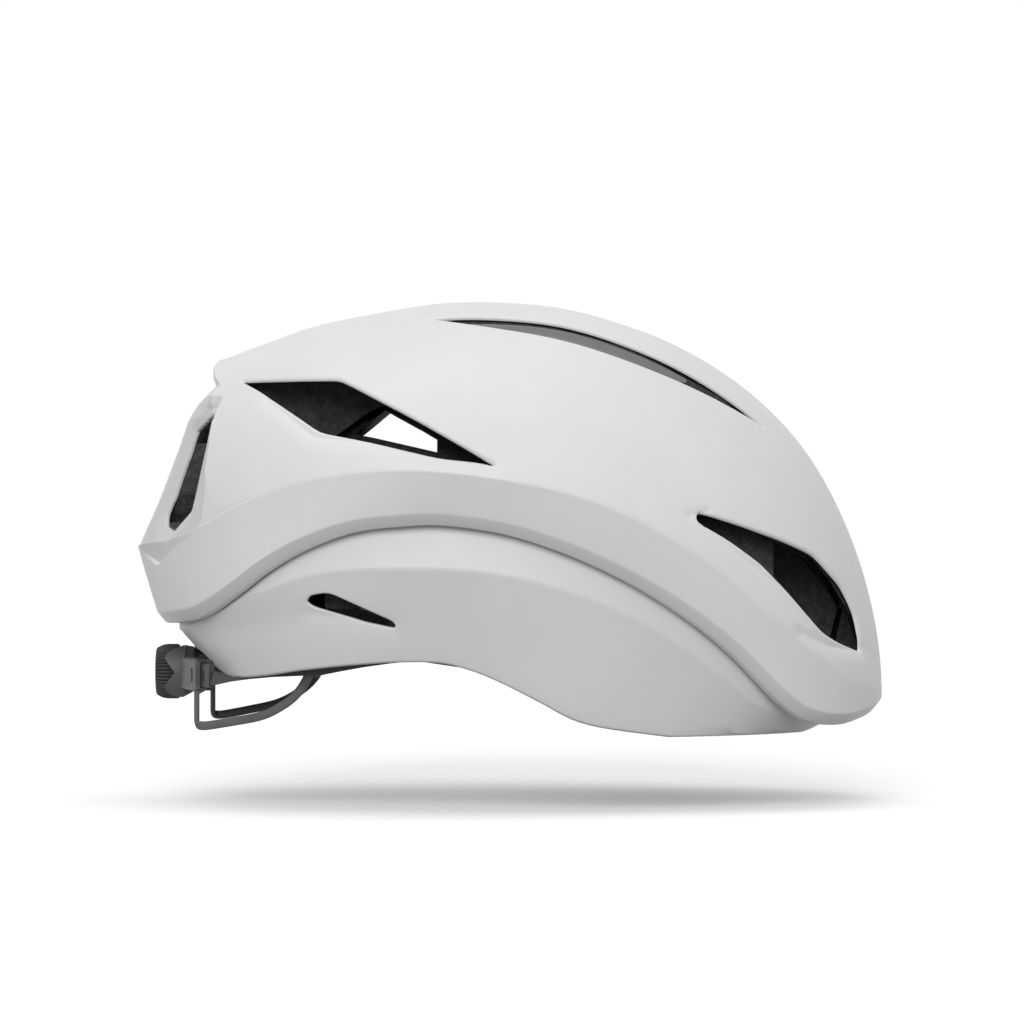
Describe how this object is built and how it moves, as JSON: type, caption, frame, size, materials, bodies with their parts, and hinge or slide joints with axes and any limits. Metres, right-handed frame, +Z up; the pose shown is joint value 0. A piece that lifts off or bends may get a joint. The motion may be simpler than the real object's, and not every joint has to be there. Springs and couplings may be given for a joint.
{
  "type": "road bike helmet",
  "caption": "Matte white vented road bike helmet in two floating halves, with charcoal foam, comfort pads and a ribbed fit dial at the nape.",
  "frame": {"origin": "under the middle of the helmet, level with the flat cheek edges that it stands on", "axes": "+X to the front, +Y to the wearer's left, +Z up"},
  "size_m": [0.285, 0.206, 0.1625],
  "materials": {
    "white_shell": "matte",
    "foam": "beaded foam",
    "elastomer": "matte",
    "nylon": "satin",
    "soft_grip": "matte",
    "acetal": "satin",
    "hook": "hook tape",
    "pad_fabric": "knit",
    "steel": "machined"
  },
  "bodies": {
    "lower_half": {"lower_shell": "white_shell", "lower_liner": "foam", "slip_anchors": "elastomer", "height_guide": "nylon", "band_mount_left": "nylon", "band_mount_right": "nylon", "front_strap_anchor_left": "nylon", "front_strap_anchor_right": "nylon", "rear_strap_anchor_left": "nylon", "rear_strap_anchor_right": "nylon", "hook_dots": "hook", "brow_pad": "pad_fabric", "ridge_pad": "pad_fabric", "side_pad_left": "pad_fabric", "side_pad_right": "pad_fabric", "temple_pad_left": "pad_fabric", "temple_pad_right": "pad_fabric", "band_left": "nylon", "band_right": "nylon"},
    "upper_half": {"upper_shell": "white_shell", "upper_liner": "foam"},
    "cradle": {"cradle_base": "nylon", "cradle_cover": "nylon", "click_ring": "acetal", "hanger": "nylon", "nape_loop_left": "nylon", "nape_loop_right": "nylon"},
    "dial": {"dial_core": "nylon", "dial_hub": "nylon", "dial_grip": "soft_grip", "dial_screw": "steel"},
    "left_rack": {"rack_left": "nylon"},
    "right_rack": {"rack_right": "nylon"}
  },
  "joints": [
    {"name": "half_yaw", "type": "hinge", "parent": "lower_half", "child": "upper_half", "pos_m": [0.011, 0, 0.05], "axis": [0, 0, 1], "range_deg": [-1.5, 1.5], "stiffness_Nm_per_rad": 20},
    {"name": "height_slide", "type": "slide", "parent": "lower_half", "child": "cradle", "axis": [0, 0, 1], "range_m": [-0.02, 0], "deforming": ["band_left", "band_right"]},
    {"name": "dial_turn", "type": "hinge", "parent": "cradle", "child": "dial", "pos_m": [-0.13, 0, 0.021], "axis": [1, 0, 0], "range_deg": [-150, 150]},
    {"name": "left_rack_slide", "type": "hinge", "parent": "cradle", "child": "left_rack", "pos_m": [0.013, 0, 0.021], "axis": [0, 0, 1], "range_deg": [-2.8, 2.8]},
    {"name": "right_rack_slide", "type": "hinge", "parent": "cradle", "child": "right_rack", "pos_m": [0.013, 0, 0.021], "axis": [0, 0, 1], "range_deg": [-2.8, 2.8]}
  ],
  "couplings": [
    {"joint": "left_rack_slide", "follows": "dial_turn", "ratio": 0.017686},
    {"joint": "right_rack_slide", "follows": "dial_turn", "ratio": -0.017686}
  ]
}
